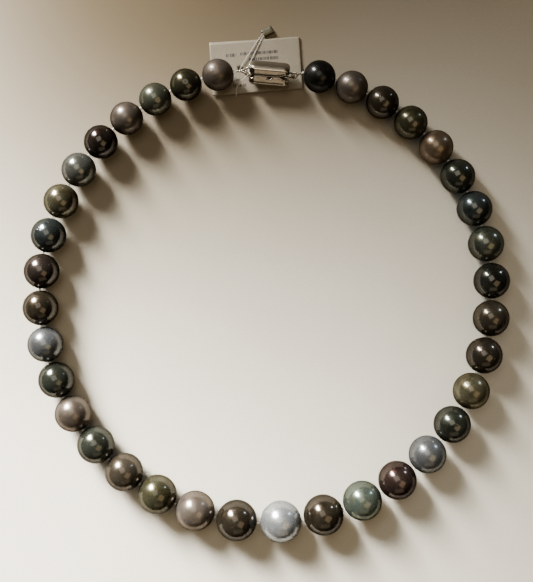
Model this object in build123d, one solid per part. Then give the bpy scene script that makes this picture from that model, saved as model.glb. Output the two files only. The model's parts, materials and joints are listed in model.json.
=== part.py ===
from build123d import *
import math
import os

# A graduated pearl necklace laid in a circle on a table, closed by a fold-over clasp,
# with its paper price label tied to the clasp. Millimetres, +Z up, Z = 0 is the table top.
# +Y points from the middle of the circle to the clasp. The origin is on the table, below the
# middle of the necklace's box.

# Strand
KNOT_CIRCLE = 68.3           # radius of the circle that the knots lie on
PEARLS_PER_SIDE = 18
PEARL_END = 9.88             # pearl diameter beside the clasp
PEARL_MIDDLE = 12.18         # pearl diameter at the bottom of the necklace
GRADUATION = 1.4             # power of the growth from the end to the middle
SIZE_VARIATION = 0.18        # pearls are matched by eye, so their sizes wander this much
SIZE_WAVE = 0.535            # radians of that wandering from one pearl to the next
SIZE_PHASE = 0.2
RIGHT_LARGER = 0.18          # diameter that the right side's pearls have over the left side's
KNOT_GAP = 0.45              # bare thread between two pearls, filled by the knot
MIDDLE_GAP = 1.60            # the same at the bottom knot, which sits loose
BOTTOM_TURN = 1.9            # degrees that the strand lies turned towards the left
BORE_RADIUS = 0.45
SILK_RADIUS = 0.25
KNOT_RADIUS = 0.40
SILK_RELIEF = 0.10           # gap between a knot and the silk of the next pearl

# Clasp: two shells with a split between them, in the clasp's own frame.
# X runs along the clasp, Y along its hinge pin, Z from the base shell to the lid.
CLASP_LENGTH = 12.3
CLASP_WIDTH = 5.9
SHELL_DEPTH = 3.1            # of each shell, measured from the split
SHELL_WALL = 0.5
SHELL_CORNER = 1.8
SHELL_DOME = 1.1             # rounding from the side wall to the face
SPLIT_GAP = 0.06             # half of the gap between the shells
CLASP_CENTRE = (1.0, 67.2)   # on the table, from the middle of the knot circle
CLASP_YAW = -5.0
CLASP_ROLL = 55.0            # the clasp lies on its long edge
PIN_INSET = 0.55             # hinge pin axis, in from the end face
PIN_RADIUS = 0.25
PIN_PLAY = 0.04
KNUCKLE_RADIUS = 0.50
HINGE_RELIEF = 0.68          # both end walls are cut back this far round the pin
LID_KNUCKLES = (0.75, 1.35)  # from the clasp's middle, on both sides
BASE_KNUCKLES = (1.42, 2.12)
RING_SLOT = (0.66, 2.20)     # half width and half height of the slot for the end ring
MOUTH = (2.3, 0.72)          # length and half height of the mouth at the open end
KNUCKLE_WEB = (0.6, 1.2, 0.2)  # a web's thickness and height, and its shift towards the middle
KNUCKLE_PAD = (0.6, 1.0)     # height of a pad under a knuckle, and of its middle over the split
NOTCH_RADIUS = 0.85          # fingernail notch in the base shell's edge
NOTCH_X = 0.2
POST_INSET = 2.2             # post that the right ring hooks on, in from the open end
POST_RADIUS = 0.35
POST_TOP = 1.25
POST_HEAD = 0.47
SOCKET = (0.85, 0.56, 0.85)  # outer radius, inner radius, height of its lower rim

# Rings and bullion loops at the two ends of the strand
RING_WIRE = 0.26
LEFT_RING = 1.25             # radius of the wire's centre line
RIGHT_RING = 2.15
RING_PLAY = 0.12             # gap between a ring and the pin or post inside it
LOOP_RADIUS = 0.80
LOOP_SHIFT = 0.10            # a loop hangs this far out from the middle of the ring's wire
BULLION_RADIUS = 0.30
LOOP_SILK = 0.16
BULLION_PLAY = 0.02

# Price label: one folded sheet, its string and the crimp that closes the string
LABEL_THICKNESS = 0.12
LABEL_OPENING = 0.50         # between the two leaves
LABEL_WIDTH = 27.8
LABEL_DEPTH = 16.2
LABEL_CENTRE = (-3.1, 70.6)
LABEL_TURN = 4.0             # degrees that it lies turned anticlockwise
LABEL_HOLE = (-7.9, 69.6)
LABEL_HOLE_RADIUS = 0.80
LABEL_PLAY = 0.06            # between the label and what lies on it
STRING_DIAMETER = 0.30
CRIMP_CENTRE = (0.45, 81.1)
CRIMP_LENGTH = 3.4
CRIMP_SECTION = (2.3, 1.3)   # width and height of the flattened ferrule
CRIMP_WALL = 0.3
CRIMP_TURN = 28.0

ARC_SHARE = 0.45             # of the shorter run beside a corner, used up by the corner's arc

label_top = 2 * LABEL_THICKNESS + LABEL_OPENING

# Route of the label's string, from the knot circle's middle: from the crimp to the hole, between
# the leaves, round the lower edge, up through the left ring and back to the crimp.
STRING_ROUTE = [
    (-0.75, 80.79, 0.65),
    (-1.60, 80.20, 0.74),
    (-3.45, 77.60, 1.02),
    (-5.30, 74.40, 1.15),
    (-6.80, 71.60, 1.20),
    (-7.75, 70.10, 1.02),
    (-8.25, 68.75, 0.36),
    (-8.75, 66.60, 0.33),
    (-9.05, 64.20, 0.34),
    (-9.15, 62.30, 0.36),
    (-9.17, 61.40, 0.50),
    (-9.18, 61.05, 1.10),
    (-9.15, 61.95, 1.42),
    (-9.00, 63.70, 2.20),
    (-6.90, 65.65, 4.50),
    (-5.49, 66.72, 5.14),
    (-5.39, 67.86, 3.50),
    (-5.27, 69.04, 1.60),
    (-5.30, 70.60, 1.06),
    (-4.35, 74.10, 1.02),
    (-2.65, 77.60, 0.98),
    (-0.51, 80.35, 0.65),
]


def pearl_diameter(number):
    """Diameter of a pearl, numbered from 1 at the clasp's left to 36 at its right."""
    last = 2 * PEARLS_PER_SIDE
    from_end = min(number, last + 1 - number) - 1
    share = from_end / (PEARLS_PER_SIDE - 1)
    graded = PEARL_END + (PEARL_MIDDLE - PEARL_END) * share**GRADUATION
    from_bottom = number - (last + 1) / 2
    wander = SIZE_VARIATION * math.cos(SIZE_WAVE * from_bottom + SIZE_PHASE)
    return graded + wander + math.copysign(RIGHT_LARGER / 2, from_bottom)


def on_circle(angle):
    """Point of the knot circle, its angle counted anticlockwise from the clasp's side."""
    turn = math.radians(angle)
    return Vector(-KNOT_CIRCLE * math.sin(turn), KNOT_CIRCLE * math.cos(turn), 0)


def lay_side(numbers, direction):
    """Pearl numbers with both end knots, from the bottom knot up to the clasp."""
    angle = 180 - BOTTOM_TURN
    laid = {}
    for number in numbers:
        gap = KNOT_GAP
        if number in (PEARLS_PER_SIDE, PEARLS_PER_SIDE + 1):
            gap = (KNOT_GAP + MIDDLE_GAP) / 2
        pitch = pearl_diameter(number) + gap
        step = 2 * math.degrees(math.asin(pitch / 2 / KNOT_CIRCLE))
        laid[number] = (on_circle(angle), on_circle(angle + direction * step))
        angle += direction * step
    return laid


def middle_height(number):
    """Height of a pearl's middle: it rests on the table, or on the label beside the clasp."""
    lift = label_top + LABEL_PLAY if number == 1 else 0
    return pearl_diameter(number) / 2 + lift


def strand():
    """Every pearl's two knots, the one towards the bottom of the necklace first.

    A knot is level with the higher of the two pearls beside it, so that no pearl hangs from it.
    """
    laid = {}
    left = list(range(PEARLS_PER_SIDE, 0, -1))
    right = list(range(PEARLS_PER_SIDE + 1, 2 * PEARLS_PER_SIDE + 1))
    height = {number: middle_height(number) for number in left + right}
    for numbers, direction in ((left, -1), (right, 1)):
        for number, ends in lay_side(numbers, direction).items():
            below = height.get(number - direction, 0)
            above = height.get(number + direction, 0)
            lower = ends[0] + Vector(0, 0, max(height[number], below))
            upper = ends[1] + Vector(0, 0, max(height[number], above))
            laid[number] = (lower, upper)
    return laid


def rod(start, end, radius):
    """Round bar from one point to another."""
    along = end - start
    from_start = (Align.CENTER, Align.CENTER, Align.MIN)
    return Plane(start, z_dir=along) * Cylinder(radius, along.length, align=from_start)


def pearl_with_silk(number, lower, upper):
    """A drilled pearl, and the silk in its bore with the knot that ties it off towards the bottom."""
    along = (upper - lower).normalized()
    middle = (upper + lower) / 2
    radius = pearl_diameter(number) / 2
    drilled = Sphere(radius) - Cylinder(BORE_RADIUS, 3 * radius)
    pearl = Plane(middle, z_dir=along) * drilled
    clear = along * (KNOT_RADIUS + SILK_RELIEF)
    knotted_below = number != PEARLS_PER_SIDE + 1
    knotted_above = number in (1, 2 * PEARLS_PER_SIDE)
    start = lower if knotted_below else lower + clear
    end = upper if knotted_above else upper - clear
    silk = rod(start, end, SILK_RADIUS)
    if knotted_below:
        silk += Pos(*lower) * Sphere(KNOT_RADIUS)
    if knotted_above:
        silk += Pos(*upper) * Sphere(KNOT_RADIUS)
    return Compound([*pearl.solids(), *silk.solids()])


def clasp_frame():
    """The clasp's own frame on the table: rolled onto its edge, its lowest point on the label."""
    half_height = clasp_half_height()
    centre = (CLASP_CENTRE[0], CLASP_CENTRE[1], label_top + LABEL_PLAY + half_height)
    yaw = math.radians(CLASP_YAW)
    roll = math.radians(CLASP_ROLL)
    along = Vector(math.cos(yaw), math.sin(yaw), 0)
    across = Vector(-math.sin(yaw), math.cos(yaw), 0)
    up = across * math.sin(roll) + Vector(0, 0, math.cos(roll))
    return Plane(centre, x_dir=along, z_dir=up)


def clasp_half_height():
    """Height of the clasp's middle over its lowest edge, with the face's rounding at that edge."""
    roll = math.radians(CLASP_ROLL)
    side = (CLASP_WIDTH / 2 - SHELL_DOME) * math.sin(roll)
    face = (SHELL_DEPTH - SHELL_DOME) * math.cos(roll)
    return side + face + SHELL_DOME


def shell(sign):
    """One hollow shell of the clasp, domed on its face. Sign is +1 for the lid, -1 for the base."""
    outline = RectangleRounded(CLASP_LENGTH, CLASP_WIDTH, SHELL_CORNER)
    outer = Pos(0, 0, SPLIT_GAP) * extrude(outline, SHELL_DEPTH - SPLIT_GAP)
    outer = fillet(outer.faces().sort_by(Axis.Z)[-1].edges(), SHELL_DOME)
    inner_size = (CLASP_LENGTH - 2 * SHELL_WALL, CLASP_WIDTH - 2 * SHELL_WALL)
    inside = RectangleRounded(*inner_size, SHELL_CORNER - SHELL_WALL)
    hollow = extrude(inside, SHELL_DEPTH - SHELL_WALL)
    hollow = fillet(hollow.faces().sort_by(Axis.Z)[-1].edges(), SHELL_DOME - SHELL_WALL)
    half = outer - hollow
    half = half if sign > 0 else mirror(half, Plane.XY)
    return half - clasp_cuts()


def clasp_cuts():
    """What is cut from both shells: hinge relief, the left ring's slot and the right ring's mouth."""
    pin_x = -CLASP_LENGTH / 2 + PIN_INSET
    relief = Pos(pin_x, 0, 0) * Rot(90, 0, 0) * Cylinder(HINGE_RELIEF, CLASP_WIDTH)
    slot = Pos(-CLASP_LENGTH / 2, 0, 0) * Box(4 * SHELL_WALL, 2 * RING_SLOT[0], 2 * RING_SLOT[1])
    mouth_x = CLASP_LENGTH / 2 - MOUTH[0] / 2
    mouth = Pos(mouth_x + SHELL_WALL, 0, 0) * Box(MOUTH[0] + 2 * SHELL_WALL, CLASP_WIDTH, 2 * MOUTH[1])
    return relief + slot + mouth


def knuckles(sign, span):
    """A pair of hinge knuckles with the webs that carry them, on the lid (+1) or the base (-1)."""
    pin_x = -CLASP_LENGTH / 2 + PIN_INSET
    width = span[1] - span[0]
    bore = PIN_RADIUS + (PIN_PLAY if sign > 0 else 0)
    web_thickness, web_height, web_shift = KNUCKLE_WEB
    pad_height, pad_middle = KNUCKLE_PAD
    pair = []
    for side in (-1, 1):
        middle = side * (span[0] + span[1]) / 2
        barrel = Pos(pin_x, middle, 0) * Rot(90, 0, 0) * Cylinder(KNUCKLE_RADIUS, width)
        web_place = Pos(pin_x + web_shift, middle, sign * web_height / 2)
        web = web_place * Box(web_thickness, width, web_height)
        pad = Pos(pin_x, middle, sign * pad_middle) * Box(2 * KNUCKLE_RADIUS, width, pad_height)
        hole = Pos(pin_x, middle, 0) * Rot(90, 0, 0) * Cylinder(bore, 2 * width)
        pair.append(barrel + web + pad - hole)
    return pair


def clasp_shells():
    """The clasp's two shells with their hinge knuckles, the base with its fingernail notch."""
    lid = shell(1)
    for knuckle in knuckles(1, LID_KNUCKLES):
        lid += knuckle
    base = shell(-1)
    for knuckle in knuckles(-1, BASE_KNUCKLES):
        base += knuckle
    notch = Pos(NOTCH_X, -CLASP_WIDTH / 2, 0) * Rot(90, 0, 0) * Cylinder(NOTCH_RADIUS, SHELL_WALL)
    return lid, base - notch


def clasp_small_parts():
    """Hinge pin, the post that the right ring hooks on, and the lid's socket that grips the post."""
    pin_x = -CLASP_LENGTH / 2 + PIN_INSET
    post_x = CLASP_LENGTH / 2 - POST_INSET
    floor = SHELL_DEPTH - SHELL_WALL
    pin = Pos(pin_x, 0, 0) * Rot(90, 0, 0) * Cylinder(PIN_RADIUS, 2 * BASE_KNUCKLES[1])
    post = Pos(post_x, 0, (POST_TOP - floor) / 2) * Cylinder(POST_RADIUS, POST_TOP + floor)
    post += Pos(post_x, 0, POST_TOP) * Sphere(POST_HEAD)
    tube = Cylinder(SOCKET[0], floor - SOCKET[2]) - Cylinder(SOCKET[1], floor)
    socket = Pos(post_x, 0, (floor + SOCKET[2]) / 2) * tube
    return pin, post, socket


def bullion_loop(frame, wire_x, wire_along, knot):
    """Bullion wire bent round a ring, with its silk core, drawn together into a neck at the knot."""
    start = frame.from_local_coords(Vector(wire_x, 0, 0))
    outward = (knot - start).normalized()
    normal = wire_along - outward * wire_along.dot(outward)
    centre = start + outward * LOOP_SHIFT
    bend = Plane(centre, x_dir=outward, z_dir=normal)
    neck_start = centre + outward * LOOP_RADIUS
    neck_end = knot - outward * (KNOT_RADIUS + BULLION_PLAY)
    sleeve = bend * Torus(LOOP_RADIUS, BULLION_RADIUS) + rod(neck_start, neck_end, BULLION_RADIUS)
    core = bend * Torus(LOOP_RADIUS, LOOP_SILK) + rod(neck_start, neck_end, LOOP_SILK)
    room = LOOP_SILK + BULLION_PLAY
    hollow = bend * Torus(LOOP_RADIUS, room)
    hollow += rod(neck_start, neck_end + outward, room)
    return sleeve - hollow, core


def label():
    """The folded price label: two leaves joined by the fold on the right, a hole in the upper one."""
    sheet = Pos(0, 0, label_top / 2) * Box(LABEL_WIDTH, LABEL_DEPTH, label_top)
    opening = Box(LABEL_WIDTH, 2 * LABEL_DEPTH, LABEL_OPENING)
    sheet -= Pos(-label_top, 0, label_top / 2) * opening
    laid = Pos(*LABEL_CENTRE, 0) * Rot(0, 0, LABEL_TURN) * sheet
    hole = Pos(*LABEL_HOLE, label_top) * Cylinder(LABEL_HOLE_RADIUS, LABEL_OPENING + LABEL_THICKNESS)
    return laid - hole


def tangent_arc_path(points):
    """Straight runs with an arc at each corner, as large as its two runs allow, and the arcs' radii."""
    radii = []
    for before, corner, after in zip(points, points[1:], points[2:]):
        half_turn = math.radians((corner - before).get_angle(after - corner)) / 2
        shorter = min((corner - before).length, (after - corner).length)
        radii.append(ARC_SHARE * shorter / math.tan(half_turn))
    return FilletPolyline(*points, radius=radii), radii


def label_string():
    """The label's string, one open length from the crimp round and back to it."""
    path, radii = tangent_arc_path([Vector(*point) for point in STRING_ROUTE])
    section = Plane(path @ 0, z_dir=path % 0) * Circle(STRING_DIAMETER / 2)
    string = sweep(section, path)
    expected = math.pi * STRING_DIAMETER**2 / 4 * path.length
    print("string length", round(path.length, 2), "bend radii", [round(r, 2) for r in radii])
    print("string volume", round(string.volume, 3), "length times section", round(expected, 3))
    return string


def crimp():
    """Flattened ferrule over both ends of the string, open at its lower left end."""
    width, height = CRIMP_SECTION
    outer = extrude(SlotOverall(width, height), CRIMP_LENGTH)
    inside = SlotOverall(width - 2 * CRIMP_WALL, height - 2 * CRIMP_WALL)
    bore = extrude(inside, CRIMP_LENGTH - CRIMP_WALL)
    turn = math.radians(CRIMP_TURN)
    along = Vector(math.cos(turn), math.sin(turn), 0)
    across = Vector(-math.sin(turn), math.cos(turn), 0)
    centre = Vector(*CRIMP_CENTRE, height / 2)
    frame = Plane(centre - along * CRIMP_LENGTH / 2, x_dir=across, z_dir=along)
    return frame * (outer - bore)


def build():
    """Every node's shape by name."""
    nodes = {}
    laid = strand()
    for number, (lower, upper) in sorted(laid.items()):
        nodes[f"pearl_{number:02d}"] = pearl_with_silk(number, lower, upper)
    frame = clasp_frame()
    lid, base = clasp_shells()
    pin, post, socket = clasp_small_parts()
    nodes["clasp_lid_shell"] = frame.location * lid
    nodes["clasp_base_shell"] = frame.location * base
    nodes["clasp_hinge_pin"] = frame.location * pin
    nodes["clasp_hook_post"] = frame.location * post
    nodes["clasp_snap_socket"] = frame.location * socket

    pin_x = -CLASP_LENGTH / 2 + PIN_INSET
    left_x = pin_x - (LEFT_RING - RING_WIRE - PIN_RADIUS - RING_PLAY)
    left_ring = Pos(left_x, 0, 0) * Rot(90, 0, 0) * Torus(LEFT_RING, RING_WIRE)
    nodes["left_jump_ring"] = frame.location * left_ring
    post_x = CLASP_LENGTH / 2 - POST_INSET
    right_x = post_x + (RIGHT_RING - RING_WIRE - POST_RADIUS - RING_PLAY)
    nodes["right_jump_ring"] = frame.location * (Pos(right_x, 0, 0) * Torus(RIGHT_RING, RING_WIRE))

    last = 2 * PEARLS_PER_SIDE
    left_wire = left_x - LEFT_RING
    right_wire = right_x + RIGHT_RING
    left = bullion_loop(frame, left_wire, frame.z_dir, laid[1][1])
    right = bullion_loop(frame, right_wire, frame.y_dir, laid[last][1])
    nodes["left_bullion_loop"], nodes["left_loop_silk"] = left
    nodes["right_bullion_loop"], nodes["right_loop_silk"] = right

    nodes["label"] = label()
    nodes["label_string"] = label_string()
    nodes["label_crimp"] = crimp()
    return nodes


CORD_NODES = ("label", "label_string", "label_crimp")
nodes = build()
solids = [solid for name, shape in nodes.items() if name not in CORD_NODES for solid in shape.solids()]
box = Compound(solids).bounding_box()
middle = box.center()
shift = Pos(-middle.X, -middle.Y, -box.min.Z)
print("shift to the origin", -middle.X, -middle.Y, "lowest", box.min.Z)
os.makedirs("parts", exist_ok=True)
for name, shape in nodes.items():
    export_step(shift * shape, f"parts/{name}.step")
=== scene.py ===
"""Looks for a graduated dark pearl necklace laid in a circle, with its clasp and price label."""
import json
import math
import random

import bmesh
import bpy
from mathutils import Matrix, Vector, noise

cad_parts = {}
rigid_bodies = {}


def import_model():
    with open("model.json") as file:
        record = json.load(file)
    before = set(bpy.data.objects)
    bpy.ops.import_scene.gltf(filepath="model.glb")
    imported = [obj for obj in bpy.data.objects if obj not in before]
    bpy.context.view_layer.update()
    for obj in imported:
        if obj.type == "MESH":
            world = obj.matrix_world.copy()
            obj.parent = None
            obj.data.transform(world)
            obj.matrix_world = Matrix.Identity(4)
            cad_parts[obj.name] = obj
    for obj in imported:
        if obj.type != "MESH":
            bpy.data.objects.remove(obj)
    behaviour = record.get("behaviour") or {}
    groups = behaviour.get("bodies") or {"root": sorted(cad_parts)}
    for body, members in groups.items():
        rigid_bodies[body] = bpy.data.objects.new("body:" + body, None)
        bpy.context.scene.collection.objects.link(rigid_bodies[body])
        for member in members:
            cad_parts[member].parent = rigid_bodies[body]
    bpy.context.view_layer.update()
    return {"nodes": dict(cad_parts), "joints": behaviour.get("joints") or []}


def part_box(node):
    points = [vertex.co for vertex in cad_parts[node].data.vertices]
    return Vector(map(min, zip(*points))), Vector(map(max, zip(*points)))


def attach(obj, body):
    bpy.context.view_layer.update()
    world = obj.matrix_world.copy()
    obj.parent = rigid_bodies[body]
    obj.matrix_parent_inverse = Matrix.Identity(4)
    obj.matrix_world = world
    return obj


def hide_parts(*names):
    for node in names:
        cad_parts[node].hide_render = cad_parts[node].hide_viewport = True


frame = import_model()
nodes = frame["nodes"]

MM = 0.001
PEARLS = 36
PER_SIDE = 18
KNOT_GAP = 0.45 * MM
BOTTOM_GAP = 1.6 * MM
BORE = 0.45 * MM
UP = Vector((0, 0, 1))


# ---------------------------------------------------------------- camera

CAMERA_PLACE = (0.0001, 0.0028, 0.2615)
CAMERA_SENSOR = 36
CAMERA_LENS = 57.4


def make_camera():
    """Looks straight down from arm's length, centred a little above the circle's middle."""
    camera = bpy.data.objects.new("camera", bpy.data.cameras.new("camera"))
    bpy.context.scene.collection.objects.link(camera)
    camera.location = CAMERA_PLACE
    camera.data.sensor_fit = "HORIZONTAL"
    camera.data.sensor_width = CAMERA_SENSOR
    camera.data.lens = CAMERA_LENS
    camera.data.clip_start = 0.01
    bpy.context.scene.camera = camera


make_camera()

# ---------------------------------------------------------------- small mesh helpers

def link_mesh(name, vertices, faces, smooth=True):
    """New mesh object in row coordinates."""
    mesh = bpy.data.meshes.new(name)
    mesh.from_pydata([tuple(v) for v in vertices], [], faces)
    mesh.update()
    piece = bpy.data.objects.new(name, mesh)
    bpy.context.scene.collection.objects.link(piece)
    if smooth:
        mesh.shade_smooth()
    return piece


def frame_along(axis):
    """Two directions square to an axis and to each other."""
    axis = axis.normalized()
    helper = Vector((0, 0, 1)) if abs(axis.z) < 0.9 else Vector((1, 0, 0))
    side = axis.cross(helper).normalized()
    return side, axis.cross(side).normalized()


def tube(name, path, radius, sides=10, closed=False):
    """Round tube along a list of points, carried by parallel transport so that it doesn't twist."""
    count = len(path)
    vertices = []
    side = None
    for i, point in enumerate(path):
        before = path[i - 1] if i > 0 or closed else path[0]
        after = path[(i + 1) % count] if i < count - 1 or closed else path[-1]
        along = (after - before).normalized()
        if side is None:
            side, _ = frame_along(along)
        side = (side - along * side.dot(along)).normalized()
        other = along.cross(side)
        for k in range(sides):
            turn = 2 * math.pi * k / sides
            vertices.append(point + side * (radius * math.cos(turn)) + other * (radius * math.sin(turn)))
    faces = []
    rings = count if closed else count - 1
    for i in range(rings):
        low, high = i * sides, ((i + 1) % count) * sides
        for k in range(sides):
            after = (k + 1) % sides
            faces.append((low + k, low + after, high + after, high + k))
    if not closed:
        faces.append(tuple(reversed(range(sides))))
        faces.append(tuple(range((count - 1) * sides, count * sides)))
    return link_mesh(name, vertices, faces)


def joined(name, pieces):
    """One object from several, in the first one's place."""
    mesh_total = bmesh.new()
    for piece in pieces:
        mesh_total.from_mesh(piece.data)
        bpy.data.objects.remove(piece)
    mesh = bpy.data.meshes.new(name)
    mesh_total.to_mesh(mesh)
    mesh_total.free()
    mesh.shade_smooth()
    piece = bpy.data.objects.new(name, mesh)
    bpy.context.scene.collection.objects.link(piece)
    return piece


# ---------------------------------------------------------------- material helpers

class Shader:
    """A node material with a Principled shader, and short calls for the nodes used here."""

    def __init__(self, name):
        self.material = bpy.data.materials.new(name)
        self.material.use_nodes = True
        self.tree = self.material.node_tree
        self.surface = self.tree.nodes["Principled BSDF"]

    def set(self, **values):
        """Constants on the shader's own sockets; an underscore stands for a space."""
        for key, value in values.items():
            self.surface.inputs[key.replace("_", " ")].default_value = value
        return self

    def node(self, kind, **properties):
        made = self.tree.nodes.new(kind)
        for key, value in properties.items():
            setattr(made, key, value)
        return made

    def wire(self, source, target):
        self.tree.links.new(source, target)

    def millimetres(self, centre=(0, 0, 0), stretch=(1, 1, 1), turn=(0, 0, 0)):
        """Row coordinates in millimetres from a centre, turned and stretched."""
        place = self.node("ShaderNodeTexCoord").outputs["Object"]
        shift = self.node("ShaderNodeVectorMath", operation="SUBTRACT")
        self.wire(place, shift.inputs[0])
        shift.inputs[1].default_value = centre
        mapping = self.node("ShaderNodeMapping")
        mapping.inputs["Rotation"].default_value = turn
        mapping.inputs["Scale"].default_value = [1000 * s for s in stretch]
        self.wire(shift.outputs[0], mapping.inputs["Vector"])
        return mapping.outputs["Vector"]

    def noise(self, vector, scale, detail=3.0, rough=0.55, distortion=0.0):
        made = self.node("ShaderNodeTexNoise")
        made.inputs["Scale"].default_value = scale
        made.inputs["Detail"].default_value = detail
        made.inputs["Roughness"].default_value = rough
        made.inputs["Distortion"].default_value = distortion
        self.wire(vector, made.inputs["Vector"])
        return made.outputs["Fac"]

    def span(self, value, low, high, from_low=0.0, from_high=1.0):
        """A value carried from one range to another, held at both ends."""
        made = self.node("ShaderNodeMapRange")
        made.inputs["From Min"].default_value = from_low
        made.inputs["From Max"].default_value = from_high
        made.inputs["To Min"].default_value = low
        made.inputs["To Max"].default_value = high
        self.wire(value, made.inputs["Value"])
        return made.outputs["Result"]

    def mix(self, share, first, second, blend="MIX"):
        """Two colours, or colour sockets, mixed by a share."""
        made = self.node("ShaderNodeMix", data_type="RGBA", blend_type=blend)
        for value, socket in ((share, made.inputs[0]), (first, made.inputs[6]), (second, made.inputs[7])):
            if hasattr(value, "is_linked"):
                self.wire(value, socket)
            elif isinstance(value, (int, float)):
                socket.default_value = value
            else:
                socket.default_value = (*value, 1)
        return made.outputs[2]

    def math(self, operation, first, second=0.0):
        made = self.node("ShaderNodeMath", operation=operation)
        for value, socket in ((first, made.inputs[0]), (second, made.inputs[1])):
            if hasattr(value, "is_linked"):
                self.wire(value, socket)
            else:
                socket.default_value = value
        return made.outputs[0]

    def bump(self, height, distance, strength=1.0, normal=None):
        made = self.node("ShaderNodeBump")
        made.inputs["Distance"].default_value = distance
        made.inputs["Strength"].default_value = strength
        self.wire(height, made.inputs["Height"])
        if normal is not None:
            self.wire(normal, made.inputs["Normal"])
        return made.outputs["Normal"]

    def feed(self, socket, value):
        self.wire(value, self.surface.inputs[socket])
        return self


# ---------------------------------------------------------------- materials

# Body colour, overtone and warm overtone of each kind of nacre.
TONES = {
    "silver": ((0.26, 0.275, 0.28), (0.40, 0.43, 0.45), (0.29, 0.25, 0.20)),
    "pewter": ((0.13, 0.135, 0.115), (0.24, 0.25, 0.225), (0.17, 0.14, 0.085)),
    "rose": ((0.15, 0.12, 0.092), (0.25, 0.21, 0.175), (0.19, 0.135, 0.08)),
    "taupe": ((0.075, 0.061, 0.041), (0.14, 0.117, 0.085), (0.11, 0.076, 0.037)),
    "copper": ((0.12, 0.082, 0.050), (0.22, 0.165, 0.115), (0.15, 0.092, 0.042)),
    "pistachio": ((0.085, 0.088, 0.060), (0.16, 0.17, 0.130), (0.13, 0.108, 0.050)),
    "olive": ((0.047, 0.044, 0.022), (0.10, 0.097, 0.058), (0.09, 0.068, 0.026)),
    "bronze": ((0.055, 0.048, 0.026), (0.115, 0.108, 0.068), (0.10, 0.072, 0.028)),
    "green": ((0.031, 0.034, 0.025), (0.075, 0.085, 0.066), (0.06, 0.050, 0.023)),
    "teal": ((0.060, 0.073, 0.055), (0.13, 0.165, 0.140), (0.10, 0.095, 0.040)),
    "blue": ((0.022, 0.026, 0.023), (0.065, 0.080, 0.078), (0.04, 0.036, 0.020)),
    "aubergine": ((0.030, 0.021, 0.014), (0.075, 0.058, 0.047), (0.05, 0.030, 0.015)),
    "cherry": ((0.034, 0.018, 0.014), (0.09, 0.060, 0.052), (0.06, 0.026, 0.014)),
    "brown": ((0.030, 0.023, 0.014), (0.07, 0.058, 0.040), (0.052, 0.034, 0.015)),
    "black": ((0.016, 0.016, 0.012), (0.048, 0.050, 0.040), (0.035, 0.029, 0.015)),
}


def nacre(name, tone, shade, centre, axis, seed, dull):
    """Pearl nacre: a soft metallic glow under a clear sharp surface, with overtones in patches."""
    body, overtone, warm = (tuple(part * shade for part in colour) for colour in TONES[tone])
    shader = Shader(name)
    shader.set(Metallic=0.72, Coat_Roughness=0.05 + 0.16 * dull, Coat_IOR=1.50,
               Specular_Tint=(0.12, 0.12, 0.11, 1), Thin_Film_Thickness=340.0, Thin_Film_IOR=1.33)
    slant = shader.node("ShaderNodeLayerWeight").outputs["Facing"]
    shader.feed("Coat Weight", shader.span(slant, 0.9 - 0.6 * dull, 0.10, 0.22, 0.62))
    turn = tuple(Vector((0, 0, 1)).rotation_difference(axis).inverted().to_euler())
    offset = Vector((seed * 3.7, seed * 1.9, -seed * 2.3)) * MM
    place = shader.millimetres(tuple(centre - offset), turn=turn)
    patches = shader.noise(place, 0.16, 3.0, 0.5, 0.6)
    cloud = shader.noise(place, 0.75, 5.0, 0.6, 0.4)
    bands = shader.noise(shader.millimetres(tuple(centre), (0.15, 0.15, 1.0), turn), 1.3, 4.0, 0.6)
    lit = shader.mix(shader.span(patches, 0.0, 1.0, 0.36, 0.64), body, overtone)
    warmed = shader.mix(shader.span(cloud, 0.0, 0.7, 0.45, 0.72), lit, warm)
    banded = shader.mix(shader.span(bands, 0.0, 0.35, 0.45, 0.70), warmed, overtone)
    shader.feed("Base Color", banded)
    shader.feed("Roughness", shader.span(cloud, 0.20 + 0.2 * dull, 0.32 + 0.2 * dull, 0.3, 0.7))
    grain = shader.noise(place, 5.5, 3.0, 0.6)
    skin = shader.bump(bands, 0.00004, 0.35)
    shader.feed("Normal", shader.bump(grain, 0.000010, 0.4 + 0.6 * dull, skin))
    return shader.material


def bright_metal(name, colour, rough=0.12, wear=0.08, grain=(1, 1, 1), centre=(0, 0, 0), turn=(0, 0, 0),
                 bite=0.00001):
    """Rhodium-white metal with fine scratches along one direction and hazy wear."""
    shader = Shader(name)
    shader.set(Metallic=1.0)
    scratch = shader.noise(shader.millimetres(centre, grain, turn), 9.0, 4.0, 0.7)
    haze = shader.noise(shader.millimetres(centre), 0.6, 3.0, 0.6)
    dark = tuple(c * 0.70 for c in colour)
    shader.feed("Base Color", shader.mix(shader.span(haze, 0.0, 0.6, 0.4, 0.7), colour, dark))
    rough_mix = shader.math("ADD", shader.span(scratch, rough, rough + wear, 0.3, 0.7),
                            shader.span(haze, 0.0, wear, 0.45, 0.7))
    shader.feed("Roughness", rough_mix)
    shader.feed("Normal", shader.bump(scratch, bite, 0.35))
    return shader.material


def thread_material(name, colour, dark):
    """Fine twisted fibre."""
    shader = Shader(name)
    shader.set(Roughness=0.62, Sheen_Weight=0.35)
    fibre = shader.noise(shader.millimetres(), 7.0, 3.0, 0.7)
    shader.feed("Base Color", shader.mix(shader.span(fibre, 0.0, 1.0, 0.35, 0.65), dark, colour))
    shader.feed("Normal", shader.bump(fibre, 0.00002, 0.6))
    return shader.material


DASH_GAP = 0.46


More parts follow.
